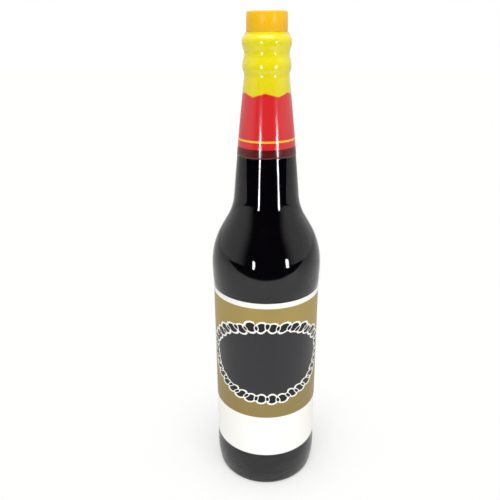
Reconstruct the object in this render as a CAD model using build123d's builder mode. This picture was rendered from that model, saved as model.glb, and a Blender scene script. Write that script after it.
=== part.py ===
from build123d import *
from math import cos, radians, sin
import os

# Soy sauce bottle: clear glass bottle full of dark sauce, paper label round the body, plastic pourer
# with a push-on lid, and a printed shrink film over the neck and the pourer's skirt.
# Millimetres, +Z up, origin at the middle of the foot on the floor, the label's front towards -Y.

# Glass body
panel_radius = 35.0            # straight part that the label is pasted on
shoulder_radius = 35.8         # widest ring, just over the label panel
heel_radius = 35.8             # bulge under the label panel
heel_height = 14.5             # height of the bulge's widest point
foot_radius = 33.5             # side of the bottle carried down to the floor
foot_rounding = 3.0            # between the standing ring and the side
standing_ring_inside = 26.0
punt_height = 2.6              # hollow under the bottle
panel_bottom = 25.5
panel_height = 120.7
ledge_height = 1.6             # small step at the top of the panel
ledge_depth = 0.35
wall = 3.0                     # glass on the panel
floor_thickness = 5.0
inside_heel_rounding = 9.0

# Shoulder and neck
shoulder_rise = 13.3           # from the top of the panel to the widest ring
shoulder_arc = 50.0
shoulder_angle = 30.3          # steepest lean of the shoulder, in degrees
root_arc = 34.0                # hollow curve from shoulder to neck
neck_root_radius = 20.6
neck_root_angle = 4.9          # lean of the neck where it starts
waist_radius = 13.15           # narrowest neck, under the carrying ring
neck_length = 72.8             # from the hollow curve up to the waist

# Finish
waist_band = 2.2               # straight glass under the carrying ring
ring_radius = 14.15            # carrying ring
ring_height = 6.7
ring_rounding = 1.5
seat_radius = 13.05            # glass between the carrying ring and the pourer's skirt
seat_band = 4.2                # from the ring up to where the skirt stands
finish_radius = 11.9           # glass inside the skirt
bore_radius = 9.2
mouth_rounding = 1.0

# Contents
headspace = 52.0               # from the sauce up to the mouth, behind the shrink film

# Label
label_margin_below = 1.6       # panel left bare under the label
label_margin_above = 1.0
label_thickness = 0.2
label_overlap = 8.0            # width of the pasted lap at the back

# Pourer
skirt_height = 10.5            # from the seat to the lid
skirt_edge_radius = 13.1       # outside of the skirt's lower edge
skirt_radius = 14.4            # widest part of the skirt
skirt_rise = 4.3               # from its lower edge up to its widest part
skirt_band = 2.4               # height of its widest part
skirt_rounding = 3.0
skirt_clearance = 0.05         # between the skirt and the glass finish
cover_thickness = 1.9          # plate over the mouth
cover_gap = 0.1                # between the plate and the rim of the mouth
plug_depth = 5.0
plug_wall = 1.1
plug_clearance = 0.03
spout_radius = 7.5
spout_height = 7.0
spout_wall = 0.9

# Lid
lid_radius = 11.95             # outside, at its lower edge
lid_draft = 0.8                # degrees
lid_height = 11.0
lid_wall = 1.2
lid_rounding = 2.1

# Shrink film
film_thickness = 0.2
film_length = 46.5             # from its lower edge up to the waist
film_gap = 0.05                # between the film's upper edge and the lid

os.makedirs("parts", exist_ok=True)

# Heights up to the widest ring
panel_top = panel_bottom + panel_height
label_bottom = panel_bottom + label_margin_below
label_height = panel_height - label_margin_below - label_margin_above
shoulder_height = panel_top + shoulder_rise

# Points of the shoulder, worked out from its two arcs and the lean between them
lean = radians(shoulder_angle)
neck_lean = radians(neck_root_angle)
shoulder_drop = shoulder_arc * (1 - cos(lean))
root_drop = root_arc * (cos(neck_lean) - cos(lean))
slope_length = (shoulder_radius - neck_root_radius - shoulder_drop - root_drop) / sin(lean)
shoulder_centre = (shoulder_radius - shoulder_arc, shoulder_height)


def shoulder_points(depth):
    """Ends of the shoulder's arcs, and a point half-way along each, at a depth inside the glass."""
    outer = shoulder_arc - depth
    inner = root_arc + depth
    cx, cz = shoulder_centre
    slope_start = (cx + outer * cos(lean), cz + outer * sin(lean))
    slope_end = (slope_start[0] - slope_length * sin(lean), slope_start[1] + slope_length * cos(lean))
    rx = slope_end[0] + inner * cos(lean)
    rz = slope_end[1] + inner * sin(lean)
    half = (lean + neck_lean) / 2
    return {
        "start": (cx + outer, cz),
        "convex": (cx + outer * cos(lean / 2), cz + outer * sin(lean / 2)),
        "slope_start": slope_start,
        "slope_end": slope_end,
        "concave": (rx - inner * cos(half), rz - inner * sin(half)),
        "neck": (rx - inner * cos(neck_lean), rz - inner * sin(neck_lean)),
    }


outside = shoulder_points(0)
shoulder_wall = shoulder_radius - panel_radius + wall
inside = shoulder_points(shoulder_wall)
neck_direction = (-sin(neck_lean), cos(neck_lean))

# Heights above the shoulder
waist_height = outside["neck"][1] + neck_length
ring_bottom = waist_height + waist_band
ring_top = ring_bottom + ring_height
seat_height = ring_top + seat_band
cover_top = seat_height + skirt_height
mouth_height = cover_top - cover_thickness - cover_gap
fill_level = mouth_height - headspace
film_bottom = waist_height - film_length
film_top = cover_top - film_gap


def shoulder_line(points):
    """The shoulder from its widest ring up to the start of the neck."""
    ThreePointArc(points["start"], points["convex"], points["slope_start"])
    Line(points["slope_start"], points["slope_end"])
    ThreePointArc(points["slope_end"], points["concave"], points["neck"])


# Glass: one revolved section, solid first, then the inside taken out of it
with BuildPart() as bottle:
    with BuildSketch(Plane.XZ) as glass_section:
        with BuildLine():
            ThreePointArc(
                (0, punt_height),
                (standing_ring_inside * 0.6, punt_height * 0.72),
                (standing_ring_inside, 0),
            )
            Line((standing_ring_inside, 0), (foot_radius, 0))
            ThreePointArc((foot_radius, 0), (heel_radius, heel_height), (panel_radius, panel_bottom))
            Line((panel_radius, panel_bottom), (panel_radius, panel_top))
            Line((panel_radius, panel_top), (panel_radius + ledge_depth, panel_top + ledge_height))
            TangentArc(
                outside["start"],
                (panel_radius + ledge_depth, panel_top + ledge_height),
                tangent=(0, -1),
            )
            shoulder_line(outside)
            TangentArc(outside["neck"], (waist_radius, waist_height), tangent=neck_direction)
            Polyline(
                (waist_radius, waist_height),
                (waist_radius, ring_bottom),
                (ring_radius, ring_bottom),
                (ring_radius, ring_top),
                (seat_radius, ring_top),
                (seat_radius, seat_height),
                (finish_radius, seat_height),
                (finish_radius, mouth_height),
                (0, mouth_height),
            )
            Line((0, mouth_height), (0, punt_height))
        make_face()
        corners = glass_section.vertices()
        fillet(corners.sort_by_distance((foot_radius, 0))[0], foot_rounding)
        fillet(corners.sort_by_distance((ring_radius, ring_bottom))[0], ring_rounding)
        fillet(corners.sort_by_distance((ring_radius, ring_top))[0], ring_rounding)
        fillet(corners.sort_by_distance((finish_radius, mouth_height))[0], mouth_rounding)
    revolve(axis=Axis.Z)

    with BuildSketch(Plane.XZ) as bore_section:
        with BuildLine():
            Polyline(
                (0, floor_thickness + punt_height),
                (standing_ring_inside * 0.5, floor_thickness + punt_height * 0.6),
                (panel_radius - wall, floor_thickness),
                (panel_radius - wall, shoulder_height),
            )
            shoulder_line(inside)
            TangentArc(inside["neck"], (bore_radius, ring_bottom), tangent=neck_direction)
            Polyline((bore_radius, ring_bottom), (bore_radius, mouth_height), (0, mouth_height))
            Line((0, mouth_height), (0, floor_thickness + punt_height))
        make_face()
        inner_corner = (panel_radius - wall, floor_thickness)
        fillet(bore_section.vertices().sort_by_distance(inner_corner)[0], inside_heel_rounding)
    revolve(axis=Axis.Z, mode=Mode.SUBTRACT)

# Sauce: the inside of the glass up to the fill level
with BuildPart() as sauce:
    with BuildSketch(Plane.XZ):
        add(bore_section.sketch_local)
        with Locations((0, fill_level)):
            Rectangle(
                4 * panel_radius,
                2 * mouth_height,
                align=(Align.CENTER, Align.MIN),
                mode=Mode.SUBTRACT,
            )
    revolve(axis=Axis.Z)

# Label: paper right round the panel, with its lap at the back
with BuildPart() as label:
    paper_radius = panel_radius + label_thickness
    with BuildSketch(Plane.XY.offset(label_bottom)):
        Circle(paper_radius)
        Circle(panel_radius, mode=Mode.SUBTRACT)
    extrude(amount=label_height)
    with BuildSketch(Plane.XY.offset(label_bottom)):
        Circle(paper_radius + label_thickness)
        with Locations((0, paper_radius)):
            Rectangle(label_overlap, 8 * label_thickness, mode=Mode.INTERSECT)
        Circle(panel_radius + label_thickness / 2, mode=Mode.SUBTRACT)
    extrude(amount=label_height)

# Pourer: a skirt over the finish, a plate that closes the mouth, a plug in the bore and a spout
skirt_widest = seat_height + skirt_rise
with BuildPart() as collar:
    with BuildSketch(Plane.XZ) as skirt_section:
        with BuildLine():
            Polyline(
                (0, seat_height),
                (skirt_edge_radius, seat_height),
                (skirt_radius, skirt_widest),
                (skirt_radius, skirt_widest + skirt_band),
                (lid_radius, cover_top),
                (0, cover_top),
                close=True,
            )
        make_face()
        skirt_corners = skirt_section.vertices()
        fillet(skirt_corners.sort_by_distance((skirt_radius, skirt_widest))[0], skirt_rounding)
        upper_corner = (skirt_radius, skirt_widest + skirt_band)
        fillet(skirt_corners.sort_by_distance(upper_corner)[0], skirt_rounding)
    revolve(axis=Axis.Z)
    with BuildSketch(Plane.XY.offset(seat_height)):
        Circle(finish_radius + skirt_clearance)
    extrude(amount=skirt_height - cover_thickness, mode=Mode.SUBTRACT)
    with BuildSketch(Plane.XY.offset(cover_top - cover_thickness)):
        Circle(bore_radius - plug_clearance)
        Circle(bore_radius - plug_clearance - plug_wall, mode=Mode.SUBTRACT)
    extrude(amount=-plug_depth)
    with BuildSketch(Plane.XY.offset(cover_top)):
        Circle(spout_radius)
        Circle(spout_radius - spout_wall, mode=Mode.SUBTRACT)
    extrude(amount=spout_height)

# Lid: a hollow push-on cap with a rounded top edge
with BuildPart() as lid:
    with BuildSketch(Plane.XY.offset(cover_top)):
        Circle(lid_radius)
    extrude(amount=lid_height, taper=lid_draft)
    fillet(lid.faces().sort_by(Axis.Z)[-1].edges(), lid_rounding)
    with BuildSketch(Plane.XY.offset(cover_top)):
        Circle(lid_radius - lid_wall)
    extrude(amount=lid_height - lid_wall, taper=lid_draft, mode=Mode.SUBTRACT)

# Shrink film: a skin of even thickness over the neck, the carrying ring and the pourer's skirt
with BuildPart() as sleeve:
    with BuildSketch(Plane.XZ):
        add(glass_section.sketch_local)
        add(skirt_section.sketch_local)
        offset(amount=film_thickness)
        add(glass_section.sketch_local, mode=Mode.SUBTRACT)
        add(skirt_section.sketch_local, mode=Mode.SUBTRACT)
        with Locations((waist_radius / 2, film_bottom)):
            Rectangle(
                2 * panel_radius,
                film_top - film_bottom,
                align=(Align.MIN, Align.MIN),
                mode=Mode.INTERSECT,
            )
    revolve(axis=Axis.Z)

bottle.part.label = "bottle"
export_step(bottle.part, "parts/bottle.step")
sauce.part.label = "sauce"
export_step(sauce.part, "parts/sauce.step")
label.part.label = "label"
export_step(label.part, "parts/label.step")
collar.part.label = "collar"
export_step(collar.part, "parts/collar.step")
lid.part.label = "lid"
export_step(lid.part, "parts/lid.step")
sleeve.part.label = "sleeve"
export_step(sleeve.part, "parts/sleeve.step")
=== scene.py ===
import math
import bpy
from mathutils import Matrix


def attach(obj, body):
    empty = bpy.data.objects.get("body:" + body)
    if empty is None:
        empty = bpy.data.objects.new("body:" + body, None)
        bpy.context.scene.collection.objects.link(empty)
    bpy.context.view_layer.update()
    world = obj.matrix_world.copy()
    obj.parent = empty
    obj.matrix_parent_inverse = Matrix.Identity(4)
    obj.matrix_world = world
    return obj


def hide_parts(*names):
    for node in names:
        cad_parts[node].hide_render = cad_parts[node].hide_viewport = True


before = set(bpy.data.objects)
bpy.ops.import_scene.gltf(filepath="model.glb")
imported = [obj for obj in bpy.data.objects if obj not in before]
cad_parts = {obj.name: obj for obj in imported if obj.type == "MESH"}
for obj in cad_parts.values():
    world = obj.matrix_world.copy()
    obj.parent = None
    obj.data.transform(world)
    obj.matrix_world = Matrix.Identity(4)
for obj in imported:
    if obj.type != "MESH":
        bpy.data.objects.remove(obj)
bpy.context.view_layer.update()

bpy.ops.object.select_all(action="DESELECT")
mm = 0.001


# Camera: about level with the lid, looking down at the bottle

cameraSet = {
    "distance": 0.3414,
    "height": 0.3043,
    "down": 0.3816,
    "left": 0.0314,
    "roll": 0.008,
    "lens": 39.94,
}


def makeCamera():
    data = bpy.data.cameras.new("camera")
    data.sensor_width = 36
    data.lens = cameraSet["lens"]
    camera = bpy.data.objects.new("camera", data)
    bpy.context.scene.collection.objects.link(camera)
    turn = (
        Matrix.Rotation(cameraSet["left"], 4, "Z")
        @ Matrix.Rotation(math.pi / 2 - cameraSet["down"], 4, "X")
        @ Matrix.Rotation(-cameraSet["roll"], 4, "Z")
    )
    camera.matrix_world = Matrix.Translation((0, -cameraSet["distance"], cameraSet["height"])) @ turn
    bpy.context.scene.camera = camera


# Shader maths: a wire is one socket, and an expression on wires adds the nodes

class Wire:
    def __init__(self, tree, socket):
        self.tree = tree
        self.socket = socket

    def maths(self, operation, first, second=None):
        node = self.tree.nodes.new("ShaderNodeMath")
        node.operation = operation
        for place, value in enumerate((first, second)):
            if isinstance(value, Wire):
                self.tree.links.new(value.socket, node.inputs[place])
            elif value is not None:
                node.inputs[place].default_value = value
        return Wire(self.tree, node.outputs[0])

    def __add__(self, other):
        return self.maths("ADD", self, other)

    def __radd__(self, other):
        return self.maths("ADD", other, self)

    def __sub__(self, other):
        return self.maths("SUBTRACT", self, other)

    def __rsub__(self, other):
        return self.maths("SUBTRACT", other, self)

    def __mul__(self, other):
        return self.maths("MULTIPLY", self, other)

    def __rmul__(self, other):
        return self.maths("MULTIPLY", other, self)

    def __truediv__(self, other):
        return self.maths("DIVIDE", self, other)

    def __rtruediv__(self, other):
        return self.maths("DIVIDE", other, self)

    def __pow__(self, other):
        return self.maths("POWER", self, other)

    def __mod__(self, other):
        return self.maths("FLOORED_MODULO", self, other)

    def __abs__(self):
        return self.maths("ABSOLUTE", self)

    def apply(self, operation, other=None):
        return self.maths(operation, self, other)


class Finish:
    def __init__(self, name, world=None):
        if world is None:
            self.material = bpy.data.materials.new(name)
            self.material.use_nodes = True
            self.tree = self.material.node_tree
        else:
            world.use_nodes = True
            self.tree = world.node_tree
        self.tree.nodes.clear()

    def node(self, kind, settings=None, inputs=None):
        made = self.tree.nodes.new("ShaderNode" + kind)
        for key, value in (settings or {}).items():
            setattr(made, key, value)
        for key, value in (inputs or {}).items():
            socket = self.find(made.inputs, key)
            if isinstance(value, Wire):
                self.tree.links.new(value.socket, socket)
            else:
                socket.default_value = value
        return made

    def find(self, sockets, key):  # by identifier first, because a Mix node repeats its names
        for socket in sockets:
            if socket.identifier == key:
                return socket
        return sockets[key]

    def wire(self, made, key):
        return Wire(self.tree, self.find(made.outputs, key))

    def get(self, kind, key, settings=None, inputs=None):
        return self.wire(self.node(kind, settings, inputs), key)

    def rise(self, value, low, high):  # 0 below low, 1 above high
        return self.get(
            "MapRange", "Result", {"interpolation_type": "SMOOTHSTEP"},
            {"Value": value, "From Min": low, "From Max": high, "To Min": 0.0, "To Max": 1.0},
        )

    def blend(self, factor, first, second):
        colours = []
        for colour in (first, second):
            colours.append(colour if isinstance(colour, Wire) else tuple(colour) + (1,))
        return self.get(
            "Mix", "Result_Color", {"data_type": "RGBA"},
            {"Factor_Float": factor, "A_Color": colours[0], "B_Color": colours[1]},
        )

    def wrapCoordinates(self):  # turns from the front, and height in metres
        place = self.get("UVMap", "UV", {"uv_map": "wrap"})
        split = self.node("SeparateXYZ", None, {"Vector": place})
        return self.wire(split, "X"), self.wire(split, "Y")

    def noise(self, scale, detail, stretch=(1, 1, 1)):
        place = self.get("TexCoord", "Object")
        mapped = self.get("Mapping", "Vector", None, {"Vector": place, "Scale": stretch})
        return self.get(
            "TexNoise", "Fac", None, {"Vector": mapped, "Scale": scale, "Detail": detail}
        )

    def relief(self, height, distance, strength=1.0):
        return self.get(
            "Bump", "Normal", None, {"Height": height, "Distance": distance, "Strength": strength}
        )

    def principled(self, inputs, volume=None):
        shader = self.get("BsdfPrincipled", "BSDF", None, inputs)
        sockets = {"Surface": shader}
        if volume:
            sockets["Volume"] = self.get("VolumeAbsorption", "Volume", None, volume)
        self.node("OutputMaterial", None, sockets)
        return self.material


# Outlines: points in millimetres, radius then height

def arc(centre, radius, first, last, count):  # angles in degrees
    points = []
    for i in range(count + 1):
        angle = math.radians(first + (last - first) * i / count)
        points.append((centre[0] + radius * math.cos(angle), centre[1] + radius * math.sin(angle)))
    return points


def bow(start, end, bulge, count):  # a straight line that swells by bulge at its middle
    length = math.hypot(end[0] - start[0], end[1] - start[1])
    across = ((end[1] - start[1]) / length, (start[0] - end[0]) / length)
    points = []
    for i in range(count + 1):
        t = i / count
        out = 4 * t * (1 - t) * bulge
        points.append((
            start[0] + (end[0] - start[0]) * t + across[0] * out,
            start[1] + (end[1] - start[1]) * t + across[1] * out,
        ))
    return points


def rounded(points, radii, count):  # corners cut back by radii and eased
    result = [points[0]]
    for i in range(1, len(points) - 1):
        (px, py), (x, y), (nx, ny) = points[i - 1], points[i], points[i + 1]
        before = math.hypot(px - x, py - y)
        after = math.hypot(nx - x, ny - y)
        cut = min(radii[i], before * 0.49, after * 0.49)
        first = (x + (px - x) * cut / before, y + (py - y) * cut / before)
        last = (x + (nx - x) * cut / after, y + (ny - y) * cut / after)
        for k in range(count + 1):
            t = k / count
            result.append((
                (1 - t) ** 2 * first[0] + 2 * t * (1 - t) * x + t * t * last[0],
                (1 - t) ** 2 * first[1] + 2 * t * (1 - t) * y + t * t * last[1],
            ))
    result.append(points[-1])
    return result


spinSet = {"segments": 160, "sharp": 50, "weld": 0.000004}


def spinPiece(name, outline):
    bpy.ops.object.select_all(action="DESELECT")
    bpy.ops.mesh.primitive_plane_add(size=mm)
    piece = bpy.context.object
    piece.name = name
    piece.data.name = name
    bpy.ops.object.mode_set(mode="EDIT")
    bpy.ops.mesh.select_all(action="SELECT")
    bpy.ops.mesh.merge(type="CENTER")
    radius, height = outline[0]
    bpy.ops.transform.translate(value=(radius * mm, 0, height * mm))
    for (r0, h0), (r1, h1) in zip(outline, outline[1:]):
        step = ((r1 - r0) * mm, 0, (h1 - h0) * mm)
        bpy.ops.mesh.extrude_vertices_move(TRANSFORM_OT_translate={"value": step})
    bpy.ops.mesh.select_all(action="SELECT")
    bpy.ops.mesh.spin(
        steps=spinSet["segments"], angle=2 * math.pi, center=(0, 0, 0), axis=(0, 0, 1)
    )
    bpy.ops.mesh.select_all(action="SELECT")
    bpy.ops.mesh.remove_doubles(threshold=spinSet["weld"])
    bpy.ops.mesh.normals_make_consistent(inside=False)
    bpy.ops.object.mode_set(mode="OBJECT")
    bpy.ops.object.shade_smooth_by_angle(angle=math.radians(spinSet["sharp"]))
    return piece


def thicken(piece, thickness, side):  # side 1 grows outwards, -1 inwards
    bpy.context.view_layer.objects.active = piece
    modifier = piece.modifiers.new("thickness", "SOLIDIFY")
    modifier.thickness = thickness * mm
    modifier.offset = side
    bpy.ops.object.modifier_apply(modifier="thickness")


def wrapUv(piece):
    data = piece.data
    layer = data.uv_layers.new(name="wrap")
    data.uv_layers.active = layer
    for face in data.polygons:
        middle = math.atan2(face.center.x, -face.center.y)
        for loop in face.loop_indices:
            point = data.vertices[data.loops[loop].vertex_index].co
            angle = math.atan2(point.x, -point.y)
            angle += 2 * math.pi * round((middle - angle) / (2 * math.pi))  # no jump at the back
            layer.data[loop].uv = (angle / (2 * math.pi), point.z)


def finishPiece(piece, material, node):
    piece.data.materials.clear()
    piece.data.materials.append(material)
    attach(piece, "root")
    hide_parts(node)
    print(piece.name, len(piece.data.polygons), "faces")


# Glass: outside up to the mouth, then the inside back down

glassShape = {
    "puntHeight": 2.6, "puntBow": 0.5, "standingRing": 26.0,
    "foot": 33.5, "footRounding": 3.2, "heelBulge": 1.25,
    "panel": 35.0, "panelBottom": 25.5, "panelTop": 146.2, "panelRounding": 1.5,
    "ledge": 0.35, "ledgeHeight": 1.6, "ledgeBulge": 0.1,
    "shoulder": 35.8, "shoulderHeight": 159.5, "shoulderArc": 50.0, "lean": 30.3,
    "rootArc": 34.0, "neckRoot": 20.6, "neckLean": 4.9, "neckLength": 72.8, "neckBow": 0.28,
    "waist": 13.15, "waistBand": 2.2,
    "ring": 14.15, "ringHeight": 6.7, "ringRounding": 1.5, "ringStart": -70, "ringEnd": 74,
    "seat": 13.05, "seatBand": 4.2, "seatRounding": 0.2, "stepRounding": 0.3,
    "finish": 11.9, "finishHeight": 8.5, "mouthRounding": 1.0, "bore": 9.2,
    "wall": 3.0, "floor": 5.0, "insideHeel": 9.0,
    "insidePunt": 13.0, "insidePuntShare": 0.6, "insidePuntRounding": 6.0,
}
glassSet = {
    "colour": (0.97, 0.99, 0.98, 1), "roughness": 0.015, "bending": 1.5,
    "depthColour": (0.62, 0.68, 0.56, 1), "depthStrength": 18.0,
    "waveSize": 28, "waveDepth": 0.00015,
}


def shoulderOutline(depth):  # depth moves the whole line inwards
    g = glassShape
    lean, neckLean = math.radians(g["lean"]), math.radians(g["neckLean"])
    drop = g["shoulderArc"] * (1 - math.cos(lean))
    drop += g["rootArc"] * (math.cos(neckLean) - math.cos(lean))
    slope = (g["shoulder"] - g["neckRoot"] - drop) / math.sin(lean)
    middle = (g["shoulder"] - g["shoulderArc"], g["shoulderHeight"])
    swell = arc(middle, g["shoulderArc"] - depth, 0, g["lean"], 20)
    endRadius = swell[-1][0] - slope * math.sin(lean)
    endHeight = swell[-1][1] + slope * math.cos(lean)
    hollow = g["rootArc"] + depth
    middle = (endRadius + hollow * math.cos(lean), endHeight + hollow * math.sin(lean))
    return swell + arc(middle, hollow, 180 + g["lean"], 180 + g["neckLean"], 14)


glassHeights = {"root": shoulderOutline(0)[-1][1]}
glassHeights["waist"] = glassHeights["root"] + glassShape["neckLength"]
glassHeights["ringLow"] = glassHeights["waist"] + glassShape["waistBand"]
glassHeights["ringTop"] = glassHeights["ringLow"] + glassShape["ringHeight"]
glassHeights["seat"] = glassHeights["ringTop"] + glassShape["seatBand"]
glassHeights["mouth"] = glassHeights["seat"] + glassShape["finishHeight"]


def neckLine(count):
    g = glassShape
    return bow(shoulderOutline(0)[-1], (g["waist"], glassHeights["waist"]), g["neckBow"], count)


def glassOutside():
    g = glassShape
    punt = [(0, g["puntHeight"])]
    punt += bow((0.5, g["puntHeight"]), (g["standingRing"], 0), g["puntBow"], 10)[1:]
    heel = bow((g["foot"], 0), (g["panel"], g["panelBottom"]), g["heelBulge"], 16)
    base = rounded([punt[-1], (g["foot"], 0), heel[3]], [0, g["footRounding"], 0], 8)
    ledge = (g["panel"] + g["ledge"], g["panelTop"] + g["ledgeHeight"])
    panel = rounded(
        [heel[-2], (g["panel"], g["panelBottom"]), (g["panel"], g["panelTop"]), ledge],
        [0, g["panelRounding"], g["panelRounding"], 0], 4,
    )
    side = bow(ledge, (g["shoulder"], g["shoulderHeight"]), g["ledgeBulge"], 6)
    return punt + base[1:] + heel[4:-1] + panel[1:] + side[1:] + shoulderOutline(0)[1:]


def neckOutside():
    g = glassShape
    h = glassHeights
    corner = g["ringRounding"]
    middle = g["ring"] - corner
    ring = arc((middle, h["ringLow"] + corner), corner, g["ringStart"], 0, 6)
    ring += arc((middle, h["ringTop"] - corner), corner, 0, g["ringEnd"], 6)
    finish = rounded(
        [(g["seat"], h["ringTop"]), (g["seat"], h["seat"]), (g["finish"], h["seat"]),
         (g["finish"], h["mouth"]), (g["bore"], h["mouth"])],
        [0, g["seatRounding"], g["stepRounding"], g["mouthRounding"], 0], 4,
    )
    return neckLine(16)[1:] + ring + finish


def glassInside(reach):  # reach moves the line out into the glass
    g = glassShape
    depth = g["shoulder"] - g["panel"] + g["wall"]
    radius = g["panel"] - g["wall"]
    root = shoulderOutline(depth)
    neck = bow(root[-1], (g["bore"], glassHeights["ringLow"]), g["neckBow"], 16)
    bottom = rounded(
        [(0, g["floor"] + g["puntHeight"]),
         (g["insidePunt"], g["floor"] + g["insidePuntShare"] * g["puntHeight"]),
         (radius, g["floor"]), (radius, g["shoulderHeight"])],
        [0, g["insidePuntRounding"], g["insideHeel"], 0], 8,
    )
    line = []
    for r, height in bottom + root[1:] + neck[1:]:
        down = reach if height < g["floor"] + g["insideHeel"] + 6 else 0
        line.append((r + reach if r > 0 else 0, height - down))
    return line


def makeGlass():
    s = glassSet
    line = glassOutside() + neckOutside() + list(reversed(glassInside(0)))
    piece = spinPiece("glassBottle", line)
    look = Finish("clearGlass")
    waves = look.noise(s["waveSize"], 1.0, (1, 1, 0.35))
    material = look.principled(
        {
            "Base Color": s["colour"], "Roughness": s["roughness"], "IOR": s["bending"],
            "Transmission Weight": 1.0, "Normal": look.relief(waves, s["waveDepth"]),
        },
        {"Color": s["depthColour"], "Density": s["depthStrength"]},
    )
    finishPiece(piece, material, "bottle")


# Sauce: reaches just into the glass, so no air shows between

sauceSet = {
    "level": 248.0, "reach": 0.12, "meniscus": 0.6, "meniscusWidth": 3, "bending": 1.08,
    "colour": (0.0016, 0.0010, 0.0032), "light": (0.0034, 0.0018, 0.0040), "roughness": 0.12,
}


def makeSauce():
    s = sauceSet
    top = s["level"]
    line = [point for point in glassInside(s["reach"]) if point[1] < top]
    edge = line[-1][0]
    width = s["meniscusWidth"]
    line += [
        (edge, top + s["meniscus"]), (edge - width * 0.4, top + s["meniscus"] / 4),
        (edge - width, top), (0, top),
    ]
    piece = spinPiece("darkSauce", line)
    look = Finish("soySauce")
    material = look.principled({
        "Base Color": look.blend(look.noise(35, 2.0), s["colour"], s["light"]),
        "Roughness": s["roughness"], "IOR": s["bending"], "Specular IOR Level": 0.2,
    })
    finishPiece(piece, material, "sauce")


# Label: printed paper round the panel, with its lap at the back

labelSet = {
    "radius": 35.0, "paper": 0.14, "lift": 0.03, "lap": 8.0, "lapRise": 2.0, "lapGap": 0.05,
    "low": 27.1, "high": 145.2, "goldTop": 141.65, "goldLow": 59.0, "printEdge": 0.1,
    "white": (0.87, 0.855, 0.82),
    "goldHigh": (0.385, 0.285, 0.085), "goldDeep": (0.265, 0.195, 0.066), "goldMetal": 0.35,
    "dark": (0.022, 0.022, 0.025), "bean": (0.003, 0.003, 0.004), "outline": (0.86, 0.85, 0.80),
}
beanSet = {
    "across": 0.9, "height": 100.9, "halfWidth": 44.4, "halfHeight": 27.4,
    "count": 38, "long": 2.6, "wide": 2.9, "spread": 0.9,
    "slide": 0.16, "stray": 1.5, "tilt": 1.6,
    "ink": (0.86, 0.98), "rim": (1.22, 1.36), "apart": (0.16, 0.28),
    "rounds": ((0.0, 1.0, 3.1), (0.5, 0.62, 7.7)),  # shift, size, seed: small beans fill the gaps
}


def beanRing(look, along, up):
    s = beanSet
    p = (along - s["across"]) / s["halfWidth"]
    q = (up - s["height"]) / s["halfHeight"]
    rho = (p * p + q * q) ** 0.5
    angle = look.get("Math", "Value", {"operation": "ARCTAN2"}, {"Value": q, "Value_001": p})
    speed = ((q * s["halfWidth"]) ** 2 + (p * s["halfHeight"]) ** 2) ** 0.5 / (rho + 0.0001)
    across = (rho - 1) * (s["halfWidth"] * s["halfHeight"]) / (speed + 0.01)
    spacing = speed * (2 * math.pi / s["count"])
    beans = []
    for shift, size, seed in s["rounds"]:
        place = angle * (s["count"] / 2 / math.pi) + (0.5 + shift)
        number = place.apply("FLOOR")
        inCell = place - number - 0.5
        cell = (number % s["count"]) + seed
        chance = look.node("TexWhiteNoise", {"noise_dimensions": "1D"}, {"W": cell})
        split = look.node("SeparateColor", None, {"Color": look.wire(chance, "Color")})
        one, two, three = (look.wire(split, key) for key in ("Red", "Green", "Blue"))
        flat = (inCell + (one - 0.5) * s["slide"]) * spacing
        out = across + (two - 0.5) * s["stray"]
        tilt = (three - 0.5) * s["tilt"]
        cos = tilt.apply("COSINE")
        sin = tilt.apply("SINE")
        long = (flat * cos + out * sin) / ((one * s["spread"] + s["long"]) * size)
        wide = (out * cos - flat * sin) / ((three * s["spread"] + s["wide"]) * size)
        beans.append((long * long + wide * wide) ** 0.5)
    nearest = beans[0].apply("MINIMUM", beans[1])
    bean = (1 - look.rise(nearest, *s["ink"])) * look.rise(abs(beans[0] - beans[1]), *s["apart"])
    rim = 1 - look.rise(nearest, *s["rim"])
    oval = 1 - look.rise(rho, 0.985, 1.0)
    return bean, rim, oval


def labelLook():
    s = labelSet
    look = Finish("labelPrint")
    turn, height = look.wrapCoordinates()
    up = height * 1000
    bean, rim, oval = beanRing(look, turn * (2 * math.pi * s["radius"]), up)
    grain = look.noise(900, 2.0)
    cloud = look.noise(45, 3.0, (1, 1, 0.6))
    fade = look.rise(up, s["goldLow"], s["goldTop"])
    gold = look.blend(fade * 0.75 + cloud * 0.25, s["goldDeep"], s["goldHigh"])
    soft = s["printEdge"]
    aboveLow = look.rise(up, s["goldLow"] - soft, s["goldLow"] + soft)
    aboveTop = look.rise(up, s["goldTop"] - soft, s["goldTop"] + soft)
    inGold = aboveLow - aboveTop
    front = 1 - look.rise(abs(turn), 0.36, 0.362)  # the ring's maths also meets at the back
    colour = look.blend(inGold, s["white"], gold)
    colour = look.blend(oval * front, colour, s["dark"])
    colour = look.blend(rim * front, colour, s["outline"])
    colour = look.blend(bean * front, colour, s["bean"])
    metal = inGold * (1 - oval) * (1 - rim)
    return look.principled({
        "Base Color": colour,
        "Metallic": metal * s["goldMetal"],
        "Roughness": metal * 0.06 + 0.36 + grain * 0.05,
        "Normal": look.relief(grain + cloud * 2.5, 0.00004, 0.5),
        "Coat Weight": 0.08, "Coat Roughness": 0.2, "Specular IOR Level": 0.28,
    })


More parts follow.
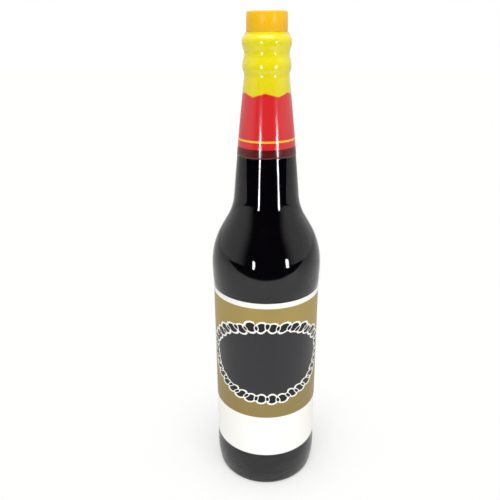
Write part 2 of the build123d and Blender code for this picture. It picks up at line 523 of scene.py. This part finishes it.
def makeLabel():
    s = labelSet
    around = 2 * math.pi * s["radius"] * mm
    bpy.ops.object.select_all(action="DESELECT")
    bpy.ops.mesh.primitive_grid_add(x_subdivisions=240, y_subdivisions=40, size=1)
    piece = bpy.context.object
    piece.name = "paperLabel"
    bpy.ops.object.mode_set(mode="EDIT")
    bpy.ops.mesh.select_all(action="SELECT")
    bpy.ops.transform.resize(value=(around + s["lap"] * mm, (s["high"] - s["low"]) * mm, 1))
    bpy.ops.transform.translate(value=(0, (s["low"] + s["high"]) / 2 * mm, 0))
    bpy.ops.object.mode_set(mode="OBJECT")

    data = piece.data
    while data.uv_layers:
        data.uv_layers.remove(data.uv_layers[0])
    layer = data.uv_layers.new(name="wrap")
    for loop in data.loops:
        point = data.vertices[loop.vertex_index].co
        layer.data[loop.index].uv = (point.x / around, point.y)

    lapStart = around / 2 - s["lap"] * mm * 0.8  # the end of the sheet climbs over its beginning
    for vertex in data.vertices:
        x, height = vertex.co.x, vertex.co.y
        climb = max(0.0, min(1.0, (x - lapStart) / (s["lapRise"] * mm)))
        radius = (s["radius"] + s["lift"] + climb * (s["paper"] + s["lapGap"])) * mm
        angle = x / (s["radius"] * mm)
        vertex.co = (radius * math.sin(angle), -radius * math.cos(angle), height)
    thicken(piece, s["paper"], 1)
    data.shade_smooth()
    bpy.ops.object.shade_smooth_by_angle(angle=math.radians(40))
    finishPiece(piece, labelLook(), "label")


# Film: shrunk over neck, ring and pourer

filmSet = {
    "low": 231.9, "thickness": 0.15, "lift": 0.2, "slack": 0.05, "lowFlare": 0.1,
    "flare": 14.4, "flareLow": 4.3, "flareHigh": 6.7, "lidGap": 0.1,
    "waveHeight": 0.16, "waveDetail": 0.07,
    "zigzagLow": 267.1, "zigzagHigh": 269.3, "zigzags": 6, "zigzagTurn": 0.4717 / (2 * math.pi),
    "zigzagEdge": 0.42, "line": 241.75, "lineHalf": 0.62, "inkLow": 237.2,
    # the deeper yellow is painted shade on the waist, fading out between the two heights on the next
    # line
    "yellow": (0.82, 0.71, 0.006), "yellowShaded": (0.70, 0.60, 0.004),
    "shadeFadeLow": 268, "shadeFadeHigh": 285,
    "red": (0.63, 0.018, 0.023), "gold": (0.95, 0.50, 0.035), "edge": (0.85, 0.25, 0.01),
    "margin": (0.12, 0.010, 0.010), "marginCover": 0.64,
}


def filmLook():
    s = filmSet
    look = Finish("shrinkFilm")
    turn, height = look.wrapCoordinates()
    up = height * 1000
    phase = ((turn - s["zigzagTurn"]) * s["zigzags"] + 0.5) % 1.0
    border = abs(phase * 2 - 1) * (s["zigzagHigh"] - s["zigzagLow"]) + s["zigzagLow"]
    above = up - border
    inYellow = look.rise(above, 0.0, 0.12)
    inEdge = look.rise(above, -s["zigzagEdge"], 0.12 - s["zigzagEdge"]) - inYellow
    inLine = 1 - look.rise(abs(up - s["line"]), s["lineHalf"] - 0.12, s["lineHalf"] + 0.05)
    inked = look.rise(up, s["inkLow"] - 0.15, s["inkLow"] + 0.15)
    cloud = look.noise(60, 2.0)
    # painted shade: the film's yellow is darker low at the waist and lightens up to the ring, mixed
    # with random mottling
    litAndMottled = look.rise(up, s["shadeFadeLow"], s["shadeFadeHigh"]) * 0.7 + cloud * 0.3
    colour = look.blend(inYellow, s["red"], look.blend(litAndMottled, s["yellowShaded"], s["yellow"]))
    colour = look.blend(inEdge, colour, s["edge"])
    colour = look.blend(inLine, colour, s["gold"])
    colour = look.blend(inked, s["margin"], colour)
    ripple = look.noise(160, 2.0, (1, 1, 0.5))
    return look.principled({
        "Base Color": colour,
        "Alpha": inked * (1 - s["marginCover"]) + s["marginCover"],
        "Roughness": cloud * 0.06 + 0.13,
        "Normal": look.relief(ripple, 0.00012, 0.6),
        "Coat Weight": 0.35, "Coat Roughness": 0.1,
    })


def filmOutline():
    s = filmSet
    h = glassHeights
    neck = [point for point in neckLine(40) if point[1] > s["low"] + 0.5]
    waist = glassShape["waist"]
    ring = glassShape["ring"]
    seat = glassShape["seat"] + s["slack"]
    body = rounded([
        (waist, h["waist"] - 0.5), (waist + s["slack"], h["ringLow"] - 1.2),
        (ring + s["slack"], h["ringLow"] + 1.6), (ring - s["slack"], h["ringTop"] - 1.4),
        (seat, h["ringTop"] + 1.4), (seat, h["seat"]),
        (s["flare"], h["seat"] + s["flareLow"]), (s["flare"], h["seat"] + s["flareHigh"]),
        (lidSet["radius"] + 0.1, lidBase() - s["lidGap"]),
    ], [0, 1.6, 1.6, 1.6, 1.4, 1.2, 2.2, 2.2, 0], 6)
    line = [(neck[0][0] + s["lowFlare"], s["low"])] + neck[:-1] + body
    return [(radius + s["lift"], height) for radius, height in line]


def makeFilm():
    s = filmSet
    piece = spinPiece("shrinkSleeve", filmOutline())
    thicken(piece, s["thickness"], -1)
    for vertex in piece.data.vertices:  # the cut edge wanders a little
        angle = math.atan2(vertex.co.x, -vertex.co.y)
        share = max(0.0, 1 - (vertex.co.z - s["low"] * mm) / (2 * mm))
        wander = s["waveHeight"] * math.sin(2 * angle + 0.6) + s["waveDetail"] * math.sin(5 * angle)
        vertex.co.z += share * mm * wander
    wrapUv(piece)
    finishPiece(piece, filmLook(), "sleeve")


# Lid and pourer

lidSet = {
    "lift": 10.5, "radius": 11.95, "topRadius": 11.8, "height": 11.0, "rounding": 2.3, "wall": 1.2,
    "lowEdge": 0.15, "rim": 9.2, "rimEdge": 8.9, "dishEdge": 8.5, "dish": 0.25,
    "gate": 0.7, "gateEdge": 0.9, "gateDepth": 0.15,
    "colour": (0.93, 0.47, 0.004), "light": (0.95, 0.56, 0.006),
}
collarSet = {"colour": (0.78, 0.66, 0.004), "light": (0.82, 0.70, 0.006)}


def lidBase():
    return glassHeights["seat"] + lidSet["lift"]


def makeLid():
    s = lidSet
    base = lidBase()
    top = base + s["height"]
    dish = top - s["dish"]
    ceiling = top - s["wall"] - 0.4
    inside = s["topRadius"] - s["wall"]
    line = [(0, ceiling), (inside - 0.6, ceiling), (inside, top - 2.4)]
    line += [(s["radius"] - s["wall"], base), (s["radius"] - s["lowEdge"], base)]
    line += rounded(
        [(s["radius"], base + s["lowEdge"]), (s["topRadius"], top), (s["rim"], top)],
        [0, s["rounding"], 0], 10,
    )
    line += [
        (s["rimEdge"], top - 0.04), (s["dishEdge"], dish),
        (s["gateEdge"], dish), (s["gate"], dish - s["gateDepth"]), (0, dish - s["gateDepth"]),
    ]
    piece = spinPiece("pushLid", line)
    look = Finish("lidPlastic")
    cloud = look.noise(90, 2.0)
    material = look.principled({
        "Base Color": look.blend(cloud, s["colour"], s["light"]),
        "Roughness": cloud * 0.05 + 0.28, "Specular IOR Level": 0.32,
        "Subsurface Weight": 0.08, "Subsurface Radius": (0.002, 0.0012, 0.0004),
        "Subsurface Scale": 1.0,
        "Normal": look.relief(look.noise(1500, 2.0), 0.00002, 0.4),
    })
    finishPiece(piece, material, "lid")


def dressCollar():
    look = Finish("collarPlastic")
    cloud = look.noise(120, 2.0)
    material = look.principled({
        "Base Color": look.blend(cloud, collarSet["colour"], collarSet["light"]),
        "Roughness": cloud * 0.05 + 0.3,
        "Normal": look.relief(cloud, 0.00003, 0.4),
    })
    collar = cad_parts["collar"]
    collar.data.materials.clear()
    collar.data.materials.append(material)


# Floor, world and lamps

studioSet = {
    "floorSize": 8.0, "floorColour": (0.86, 0.86, 0.85), "paper": (1, 1, 0.99, 1),
    "darkFrom": -0.41, "darkTo": -0.5, "darkColour": (0.015, 0.015, 0.018),
    "shadowStart": 0.036, "shadowEnd": 0.11, "shadowShare": 0.5,
    "glossLight": 0.80, "softLight": 0.62, "roomDark": 0.985,
    "stripPower": 1.25, "stripTall": 0.17, "stripHeight": 0.19, "stripAway": 0.8,
    "leftTurn": -25, "leftWide": 0.064, "rightTurn": 43, "rightWide": 0.08,
    "topPower": 10.0, "topSize": 0.9, "topPlace": (0, -0.35, 1.3), "topTilt": 0.25,
}


def makeFloor():
    s = studioSet
    bpy.ops.object.select_all(action="DESELECT")
    bpy.ops.mesh.primitive_plane_add(size=s["floorSize"])
    floor = bpy.context.object
    floor.name = "floor"
    look = Finish("floorSheet")
    seen = look.get("LightPath", "Is Camera Ray")
    place = look.node("SeparateXYZ", None, {"Vector": look.get("TexCoord", "Object")})
    across = look.wire(place, "X")
    depth = look.wire(place, "Y")
    near = look.rise(depth, s["darkTo"], s["darkFrom"])  # reflections see a dark room in front
    sheet = look.blend(near.apply("MAXIMUM", seen), s["darkColour"], s["floorColour"])
    matt = look.get("BsdfDiffuse", "BSDF", None, {"Color": sheet})
    glow = look.get("Emission", "Emission", None, {"Color": s["paper"], "Strength": 1.0})
    away = look.rise((across * across + depth * depth) ** 0.5, s["shadowStart"], s["shadowEnd"])
    white = away * s["shadowShare"] + (1 - s["shadowShare"])
    mixed = look.get("MixShader", "Shader", None, {
        "Fac": seen * white, "Shader": matt, "Shader_001": glow,
    })
    look.node("OutputMaterial", None, {"Surface": mixed})
    floor.data.materials.append(look.material)


def makeWorld():
    world = bpy.data.worlds.new("studio")
    bpy.context.scene.world = world
    look = Finish("studio", world)
    way = look.node("SeparateXYZ", None, {"Vector": look.get("TexCoord", "Generated")})
    x, y, z = (look.wire(way, key) for key in "XYZ")
    across = abs(x) / ((x * x + y * y) ** 0.5 + 0.001)
    front = look.rise(y * -1, 0.0, 0.05)
    narrow = 1 - look.rise(across, 0.62, 0.97)
    low = 1 - look.rise(z, 0.62, 0.80)
    rays = look.node("LightPath")
    seen = look.wire(rays, "Is Camera Ray")
    sharp = look.wire(rays, "Is Glossy Ray").apply("MAXIMUM", look.wire(rays, "Is Transmission Ray"))
    mirrored = (1 - front * narrow * low * studioSet["roomDark"]) * studioSet["glossLight"]
    light = mirrored * sharp + (1 - sharp) * studioSet["softLight"]
    strength = light * (1 - seen) + seen
    back = look.get("Background", "Background", None, {"Color": (1, 1, 1, 1), "Strength": strength})
    look.node("OutputWorld", None, {"Surface": back})


def makeLamp(name, wide, tall, power, place):
    data = bpy.data.lights.new(name, "AREA")
    data.shape = "RECTANGLE"
    data.size = wide
    data.size_y = tall
    data.energy = power
    lamp = bpy.data.objects.new(name, data)
    bpy.context.scene.collection.objects.link(lamp)
    lamp.matrix_world = place


def besideFront(turn):  # upright, facing the bottle from turn degrees round the front
    s = studioSet
    angle = math.radians(turn)
    away = Matrix.Translation((0, -s["stripAway"], s["stripHeight"]))
    return Matrix.Rotation(angle, 4, "Z") @ away @ Matrix.Rotation(math.pi / 2, 4, "X")


def makeLamps():
    s = studioSet
    makeLamp("stripLeft", s["leftWide"], s["stripTall"], s["stripPower"], besideFront(s["leftTurn"]))
    makeLamp("stripRight", s["rightWide"], s["stripTall"], s["stripPower"], besideFront(s["rightTurn"]))
    overhead = Matrix.Translation(s["topPlace"]) @ Matrix.Rotation(s["topTilt"], 4, "X")
    makeLamp("overhead", s["topSize"], s["topSize"], s["topPower"], overhead)
    print("lamps ready")


makeGlass()
makeSauce()
makeLabel()
makeFilm()
makeLid()
dressCollar()
makeFloor()
makeWorld()
makeLamps()
makeCamera()

view = bpy.context.scene.view_settings
view.view_transform = "Standard"
bpy.context.view_layer.update()
